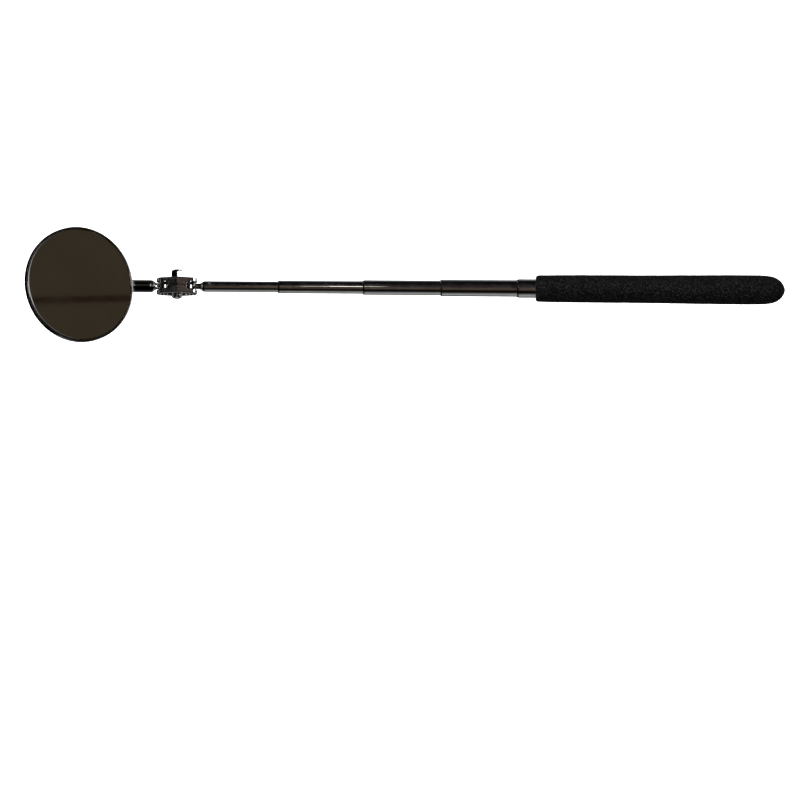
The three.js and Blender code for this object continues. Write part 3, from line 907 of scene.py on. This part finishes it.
def make_saddle():
    """Pressed strap over the stem's flat end, its two wings lying on the back of the case."""
    cad = Measure("stem_saddle", BACK)
    skin = 0.7
    wing = cad.high.z
    wing_back = wing - skin
    roof = cad.low.z + skin
    roof_back = cad.low.z
    inside = 3.02
    edge = cad.high.y
    profile = [
        (-edge, wing, 0.1),
        (-edge, wing_back, 0.25),
        (-inside - 1.1, wing_back, 0.5),
        (-inside - 0.2, roof_back, 0.8),
        (inside + 0.2, roof_back, 0.8),
        (inside + 1.1, wing_back, 0.5),
        (edge, wing_back, 0.25),
        (edge, wing, 0.1),
        (inside, wing, 0.15),
        (inside, roof, 0.15),
        (-inside, roof, 0.15),
        (-inside, wing, 0.15),
    ]
    along = Matrix.Identity(4)
    along.col[0] = (0, 1, 0, 0)
    along.col[1] = (0, 0, 1, 0)
    along.col[2] = (1, 0, 0, 0)
    section = rounded(profile, closed=True)
    strap = prism("stem_saddle_pressed", BACK @ along, section, cad.low.x, cad.high.x)

    middle = (cad.low.x + cad.high.x) / 2
    corner = 2.6
    right = (cad.high.x - cad.low.x) / 2 - corner
    upper = edge - corner
    middles = [(right, -upper), (right, upper), (-right, upper), (-right, -upper)]
    plan = []
    for (x, y), turn in zip(middles, (-90, 0, 90, 180)):
        plan += arc((middle + x, y), corner, turn, turn + 90, 8)
    combine(strap, [prism("plan", BACK, plan, -6, 6)], "INTERSECT")
    hole = BACK @ Matrix.Translation((middle, 0, 0))
    combine(strap, [drill(hole, RIVET_HOLE, -5, 5, 48)])
    soften(strap, 0.08, crease=20, angle=50)
    stands_for(strap, "stem_saddle")
    make_rivet(hole, roof_back - 0.02)


def make_rivet(where, roof):
    """A domed head on the strap's roof, a shank through strap, stem and case, and a flat head."""
    cad = Measure("stem_rivet", where)
    head = cad.radius
    shank = 1.5
    inner_head = cad.end - 0.5
    line = [(0, cad.start)]
    for degrees in range(8, 86, 7):
        angle = math.radians(degrees)
        line.append((head * math.sin(angle), roof - 1.1 * math.cos(angle) ** 0.8))
    line += rounded([
        (head, roof - 0.15, 0),
        (head, roof, 0.06),
        (shank, roof, 0.02),
        (shank, inner_head, 0.02),
        (head, inner_head, 0.05),
        (head, cad.end, 0.12),
        (0, cad.end, 0),
    ])
    stands_for(turned("stem_rivet_domed", where, line, 64), "stem_rivet")


def make_case():
    """Stamped cup: rounded back edge, straight wall, and a thin rim rolled in over the glass."""
    cad = Measure("mirror_case", DISC)
    glass = Measure("mirror_glass", DISC)
    radius = cad.radius
    back = cad.start
    wall = glass.radius + 0.1
    skin = radius - wall
    lip = glass.radius - 0.75
    glass_top = glass.end + 0.05
    bead = (radius - lip) / 2
    crown = cad.end - 0.02
    rise = crown - glass_top - 0.02
    bead_foot = crown - rise
    outside = rounded([(0, back, 0), (radius, back, 1.3), (radius, bead_foot, 0)], steps=8)
    rim = [
        (radius - bead + bead * across, bead_foot + rise * up)
        for across, up in arc((0, 0), 1, 0, 170, 20)[1:]
    ]
    edge = rounded([rim[-1] + (0,), (lip + 0.05, glass_top, 0.02), (wall, glass_top, 0)])[1:]
    inside = rounded([edge[-1] + (0,), (wall, back + skin, 0.6), (0, back + skin, 0)])[1:]
    cup = turned("mirror_case_stamped", DISC, outside + rim + edge + inside, 224)
    combine(cup, [drill(on_rivet(DISC), RIVET_HOLE, -3, 3)])
    shade(cup.data, 50)
    stands_for(cup, "mirror_case")


def make_glass():
    """A round pane with a narrow ground edge."""
    cad = Measure("mirror_glass", DISC)
    radius = cad.radius
    line = rounded([
        (0, cad.start, 0),
        (radius, cad.start, 0.15),
        (radius, cad.end - 0.25, 0.05),
        (radius - 0.5, cad.end, 0.04),
        (0, cad.end, 0),
    ], steps=3)
    disc = turned("mirror_glass_ground", DISC, line, 224)
    shade(disc.data, 15)
    stands_for(disc, "mirror_glass")


# ---- studio --------------------------------------------------------------------------------

VIEW_WIDTH = 0.3934  # what the camera takes in across, at the rod's height
VIEW_DISTANCE = 12.0
VIEW_RIGHT = -0.0026  # the middle of the view, from the middle of the tool
VIEW_DOWN = 0.0552
VIEW_ROLL = math.radians(0.354)
SENSOR = 36.0
FLOOR_DROP = 0.095  # more than the mirror head can swing down past the handle's underside
FLOOR_REACH = 4.0


def make_camera():
    """Looks straight down on the tool, which lies in the upper half of the view."""
    data = bpy.data.cameras.new("camera")
    data.sensor_width = SENSOR
    data.lens = SENSOR * VIEW_DISTANCE / VIEW_WIDTH
    data.clip_end = 3 * VIEW_DISTANCE
    camera = bpy.data.objects.new("camera", data)
    bpy.context.scene.collection.objects.link(camera)
    across = Vector((math.cos(VIEW_ROLL), math.sin(VIEW_ROLL), 0))
    upward = Vector((-math.sin(VIEW_ROLL), math.cos(VIEW_ROLL), 0))
    target = Vector((0, ROD_BALL.y, ROD_BALL.z)) + across * VIEW_RIGHT - upward * VIEW_DOWN
    camera.location = target + WORLD_Z * VIEW_DISTANCE
    camera.rotation_euler = (0, 0, VIEW_ROLL)
    bpy.context.scene.camera = camera


def make_floor():
    """A plain white floor below everything's reach, glowing so that it shows next to no shadow."""
    level = CAD_BOX[0][2] - FLOOR_DROP
    mesh = bpy.data.meshes.new("floor")
    quarters = ((-1, -1), (1, -1), (1, 1), (-1, 1))
    corners = [(x * FLOOR_REACH, y * FLOOR_REACH, level) for x, y in quarters]
    mesh.from_pydata(corners, [], [(0, 1, 2, 3)])
    floor = new_object("floor", mesh)
    shader = Shader("floor_paper").fix(Roughness=0.9, Specular_IOR_Level=0.1)
    shader.fix(Emission_Color=(1, 1, 1, 1), Emission_Strength=0.6)
    fibre = shader.noise(40, detail=6)
    shader.vary("Base Color", fibre, [(0.3, grey(0.92)), (0.7, grey(0.94))])
    mesh.materials.append(shader.material)
    floor.visible_glossy = False
    floor.visible_diffuse = False


# what the bright metal mirrors round the rod: (degrees from overhead toward -Y, colour or grey)
BLACK = 0.0015
BAND_STOPS = [
    (-180, 0.006),
    (-156, 0.01),
    (-147, (0.28, 0.29, 0.30)),
    (-135, (0.25, 0.26, 0.27)),
    (-116, (0.10, 0.105, 0.11)),
    (-104, (0.008, 0.009, 0.011)),
    (-90, BLACK),
    (-60, BLACK),
    (-45, (0.003, 0.002, 0.002)),
    (-34, (0.002, 0.001, 0.001)),
    (-24, (0.008, 0.0035, 0.003)),
    (-12, (0.017, 0.009, 0.007)),
    (0, (0.037, 0.026, 0.020)),
    (10, (0.064, 0.047, 0.035)),
    (18, (0.055, 0.042, 0.030)),
    (30, (0.012, 0.009, 0.005)),
    (40, BLACK),
    (60, BLACK),
    (68, (0.04, 0.04, 0.038)),
    (76, (0.20, 0.20, 0.19)),
    (85, (0.13, 0.13, 0.125)),
    (94, (0.30, 0.30, 0.29)),
    (108, (0.33, 0.34, 0.34)),
    (120, (0.17, 0.175, 0.18)),
    (145, (0.14, 0.145, 0.15)),
    (153, 0.01),
    (180, 0.006),
]


class SkyNodes:
    """Builds the world's shader from a direction, step by step."""

    def __init__(self, tree):
        self.tree = tree
        tree.nodes.clear()
        self.direction = tree.nodes.new("ShaderNodeTexCoord").outputs["Generated"]
        split = tree.nodes.new("ShaderNodeSeparateXYZ")
        tree.links.new(self.direction, split.inputs[0])
        self.x, self.y, self.z = split.outputs

    def plug(self, socket, value):
        if isinstance(value, (int, float, tuple)):
            socket.default_value = value
        else:
            self.tree.links.new(value, socket)

    def maths(self, operation, *values):
        node = self.tree.nodes.new("ShaderNodeMath")
        node.operation = operation
        for socket, value in zip(node.inputs, values):
            self.plug(socket, value)
        return node.outputs[0]

    def product(self, first, *others):
        for other in others:
            first = self.maths("MULTIPLY", first, other)
        return first

    def vector(self, operation, first, second=None, scale=None):
        node = self.tree.nodes.new("ShaderNodeVectorMath")
        node.operation = operation
        self.plug(node.inputs[0], first)
        if second is not None:
            self.plug(node.inputs[1], second)
        if scale is not None:
            self.plug(node.inputs["Scale"], scale)
        return node.outputs["Value" if operation == "DOT_PRODUCT" else "Vector"]

    def fade(self, value, start, end):
        """0 at start to 1 at end, smoothly; start may be the larger one."""
        node = self.tree.nodes.new("ShaderNodeMapRange")
        node.interpolation_type = "SMOOTHSTEP"
        low, high = min(start, end), max(start, end)
        node.inputs["From Min"].default_value = low
        node.inputs["From Max"].default_value = high
        node.inputs["To Min"].default_value = 0.0 if start < end else 1.0
        node.inputs["To Max"].default_value = 1.0 if start < end else 0.0
        self.plug(node.inputs["Value"], value)
        return node.outputs["Result"]

    def toward(self, direction):
        """The cosine of the angle from a direction."""
        return self.vector("DOT_PRODUCT", self.direction, tuple(Vector(direction).normalized()))

    def spot(self, direction, edge, core):
        """1 within core degrees of a direction, 0 beyond edge degrees."""
        cosine = self.toward(direction)
        return self.fade(cosine, math.cos(math.radians(edge)), math.cos(math.radians(core)))

    def tinted(self, strength, colour):
        return self.vector("SCALE", colour, scale=strength)

    def background(self, colour):
        node = self.tree.nodes.new("ShaderNodeBackground")
        self.plug(node.inputs["Color"], colour)
        return node.outputs[0]

    def choose(self, share, first, second):
        node = self.tree.nodes.new("ShaderNodeMixShader")
        self.plug(node.inputs["Fac"], share)
        self.tree.links.new(first, node.inputs[1])
        self.tree.links.new(second, node.inputs[2])
        return node.outputs[0]


def mirrored_from(normal):
    """The way in which a face with this normal mirrors the view from straight above."""
    normal = normal.normalized()
    return normal * 2 * normal.z - WORLD_Z


def mirrored_studio(sky):
    """What the bright metal sees: long bands round the rod, dark beyond its ends, a brown wall for
    the glass, a window low beside it, a warm patch for the clamp's right flanks, and the pale table
    low beyond both ends of the rod."""
    angle = sky.maths("ARCTAN2", sky.maths("MULTIPLY", sky.y, -1.0), sky.z)
    share = sky.maths("MULTIPLY_ADD", angle, 1 / math.tau, 0.5)
    stops = [(degrees / 360 + 0.5, colour) for degrees, colour in BAND_STOPS]
    bands = ramp_of(sky.tree, share, stops)
    beside = sky.product(sky.fade(sky.x, -0.3, -0.1), sky.fade(sky.x, 0.3, 0.1))
    mirrored = sky.tinted(beside, bands)

    brown_wall = sky.spot(mirrored_from(FACE_AXIS), 8, 5)
    window = sky.product(
        sky.fade(sky.x, 0.775, 0.815),
        sky.fade(sky.z, 0.54, 0.48),
        sky.fade(sky.y, 0.08, 0.16),
        sky.fade(sky.y, 0.42, 0.34),
    )
    warm_patch = sky.spot(mirrored_from(Vector((0.21, 0.20, 0.956))), 16, 5)
    left_end = sky.product(sky.fade(sky.x, -0.35, -0.55), sky.fade(sky.z, -0.5, -0.35))
    ends = sky.maths("MAXIMUM", sky.fade(sky.x, 0.35, 0.55), left_end)
    table = sky.product(sky.fade(sky.z, 0.0, -0.2), ends)
    for strength, colour in (
        (brown_wall, (0.038, 0.028, 0.0175)),
        (window, (0.45, 0.45, 0.45)),
        (warm_patch, (0.034, 0.020, 0.012)),
        (table, (0.3, 0.3, 0.3)),
    ):
        mirrored = sky.vector("ADD", mirrored, sky.tinted(strength, colour))
    return mirrored


def soft_daylight(sky):
    """What falls on dull surfaces: a broad soft light from overhead and behind."""
    lobe = sky.maths("POWER", sky.fade(sky.toward((0, 0.45, 1)), 0.0, 1.0), 6.0)
    above = sky.fade(sky.z, -0.05, 0.1)
    soft = sky.maths("MULTIPLY_ADD", lobe, 4.0, sky.maths("MULTIPLY_ADD", above, 0.2, 0.04))
    return sky.tinted(soft, (1.0, 1.0, 1.0))


def make_world():
    """Soft light for everything dull, a white backdrop for the camera, and a dark studio with long
    bands and a few bright panels for the bright metal."""
    world = bpy.data.worlds.new("studio")
    bpy.context.scene.world = world
    world.use_nodes = True
    sky = SkyNodes(world.node_tree)
    white = sky.background((1, 1, 1, 1))
    soft = sky.background(soft_daylight(sky))
    mirrored = sky.background(mirrored_studio(sky))
    path = sky.tree.nodes.new("ShaderNodeLightPath").outputs
    shown = sky.choose(path["Is Camera Ray"], soft, white)
    shown = sky.choose(path["Is Glossy Ray"], shown, mirrored)
    output = sky.tree.nodes.new("ShaderNodeOutputWorld")
    sky.tree.links.new(shown, output.inputs["Surface"])


def area_light(name, at, towards, size, radiance, glossy=True, colour=(1, 1, 1)):
    """A panel at one point, facing another; glossy tells whether bright surfaces mirror it."""
    data = bpy.data.lights.new(name, "AREA")
    data.shape = "RECTANGLE"
    data.size, data.size_y = size
    data.energy = radiance * math.pi * size[0] * size[1]
    data.color = colour
    light = bpy.data.objects.new(name, data)
    bpy.context.scene.collection.objects.link(light)
    light.location = at
    aim = Vector(towards) - Vector(at)
    light.rotation_euler = aim.to_track_quat("-Z", "Y").to_euler()
    light.visible_camera = False
    light.visible_glossy = glossy
    return light


KEY_AT = (0, 0.45, 1.5)
KEY_SIZE = (0.9, 0.9)
SHEEN_LEAN = math.radians(31)
SHEEN_DISTANCE = 0.8
GLINT_WAY = Vector((0.36, 0.0, 0.93)) * 0.2  # from each ball to its panel
SIDE_WAY = Vector((0.44, 0.13, 0.135))  # from the clamp to its panel
STREAK_HEIGHT = 0.3
STREAK_WIDTH = 0.035
STREAK_LEAN = math.radians(16)
# the streak's stretches: (from, to, radiance), in millimetres from the mouth of the third tube
STREAK = [(-62, -32, 0.15), (-32, -17, 0.8), (-17, 1, 2.3), (1, 10, 0.6)]


def make_lights():
    """A soft key for the dull surfaces, and a row of strips that the middle tubes mirror."""
    area_light("key", KEY_AT, (0, 0, 0), KEY_SIZE, 6.3, glossy=False)
    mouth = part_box("tube_3")[0][0]
    for start, end, radiance in STREAK:
        below = Vector((mouth + (start + end) / 2 * MM, ROD_BALL.y, ROD_BALL.z))
        above = below + Vector((0, math.tan(STREAK_LEAN), 1)) * STREAK_HEIGHT
        size = ((end - start) * MM, STREAK_WIDTH)
        area_light("strip", above, below, size, radiance, colour=(1, 0.97, 0.86))


def lit_alone(light, *pieces):
    """Makes a light fall on these pieces only."""
    receivers = bpy.data.collections.new(light.name + "_receivers")
    for piece in pieces:
        receivers.objects.link(bpy.data.objects[piece])
    light.light_linking.receiver_collection = receivers


def make_accents():
    """A soft sheen along the grip's upper side, a tall glint on each ball, and a bright panel to
    the right of the clamp."""
    low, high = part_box("grip")
    grip = Vector(((low[0] + high[0]) / 2, ROD_BALL.y, ROD_BALL.z))
    above = grip + Vector((0, math.sin(SHEEN_LEAN), math.cos(SHEEN_LEAN))) * SHEEN_DISTANCE
    lit_alone(area_light("grip_sheen", above, grip, (0.7, 0.35), 4.5), "grip_sleeve")
    for piece, ball in (("rod_ball_polished", ROD_BALL), ("mirror_ball_polished", HEAD_BALL)):
        lit_alone(area_light(piece + "_glint", ball + GLINT_WAY, ball, (0.24, 0.08), 2.5), piece)
    middle = (ROD_BALL + HEAD_BALL) / 2
    side = area_light("side_panel", middle + SIDE_WAY, middle, (0.16, 0.2), 2.0)
    lit_alone(
        side,
        "clamp_nut_hexagon",
        "clamp_screw_pan_head",
        "clamp_plate_nut_side_stamped",
        "clamp_plate_head_side_stamped",
    )


RAIL_DISTANCE = 0.5  # from the glass, along what it mirrors
RAIL_REACH = 2.1  # to each side, as a share of the glass's radius
RAIL_BELOW = -6.9  # the band's middle line, and its half width, in millimetres as the camera sees
RAIL_SLANT = 1.9
RAIL_HALF_WIDTH = 1.5


def make_mirrored_bar():
    """A dark rail that shows only in the mirror, as a band across the lower half of the glass. It
    takes no light: a fixed dark brown glow, painted into its emission, stands in for the shade and
    light it would catch.
    """
    camera = bpy.context.scene.camera.location
    glass = Measure("mirror_glass", DISC)
    top = DISC @ Vector((0, 0, glass.end))
    corners = []
    for side in (-1, 1):
        for edge in (-1, 1):
            across = side * RAIL_REACH * glass.radius
            along = RAIL_BELOW + side * RAIL_SLANT + edge * RAIL_HALF_WIDTH
            seen = DISC.translation + Vector((across, along, 0)) * MM
            rise = FACE_AXIS.x * (seen.x - top.x) + FACE_AXIS.y * (seen.y - top.y)
            point = Vector((seen.x, seen.y, top.z - rise / FACE_AXIS.z))
            ray = (point - camera).normalized()
            mirrored = ray - 2 * ray.dot(FACE_AXIS) * FACE_AXIS
            corners.append(point + mirrored * RAIL_DISTANCE)
    mesh = bpy.data.meshes.new("dark_rail")
    mesh.from_pydata([corners[0], corners[1], corners[3], corners[2]], [], [(0, 1, 2, 3)])
    rail = new_object("dark_rail", mesh)
    # painted shade: black base and no gloss, with a fixed dark brown emission, randomly mottled, as
    # the rail's painted glow
    shader = Shader("rail_painted_glow").fix(Roughness=1.0, Specular_IOR_Level=0.0, Emission_Strength=1.0)
    shader.fix(Base_Color=(0, 0, 0, 1))
    glow_mottle = shader.noise(30, detail=3)
    stops = [(0.3, (0.0125, 0.0065, 0.0040, 1)), (0.7, (0.0145, 0.0078, 0.0050, 1))]
    shader.vary("Emission Color", glow_mottle, stops)
    mesh.materials.append(shader.material)
    rail.visible_camera = False
    rail.visible_diffuse = False
    rail.visible_shadow = False
    rail.visible_transmission = False


# ---- assembly ------------------------------------------------------------------------------

make_camera()
make_floor()
make_world()
make_lights()
make_mirrored_bar()

make_grip()
for outer_node, inner_node in zip(ROLLED_TUBES, ("tube_1",) + ROLLED_TUBES):
    make_rolled_tube(outer_node, inner_node)
make_pinned_tube()
make_ball_stud()
make_ball("rod_ball_polished", ROD, "handle_ball")
make_clamp_plate("clamp_plate_nut_side_stamped", "clamp_plate_nut_side", 1)
make_clamp_plate("clamp_plate_head_side_stamped", "clamp_plate_head_side", -1)
make_clamp_screw()
make_clamp_nut()
make_ball("mirror_ball_polished", STEM, "mirror_ball")
make_stem()
make_saddle()
make_case()
make_glass()
make_accents()

replaced = {node for obj in bpy.data.objects for node in obj.get("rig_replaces", [])}
for node, obj in frame["nodes"].items():
    if node not in replaced:
        dress(obj, SLOT_OF[node])

view = bpy.context.scene.view_settings
view.view_transform = "Standard"
view.look = "None"
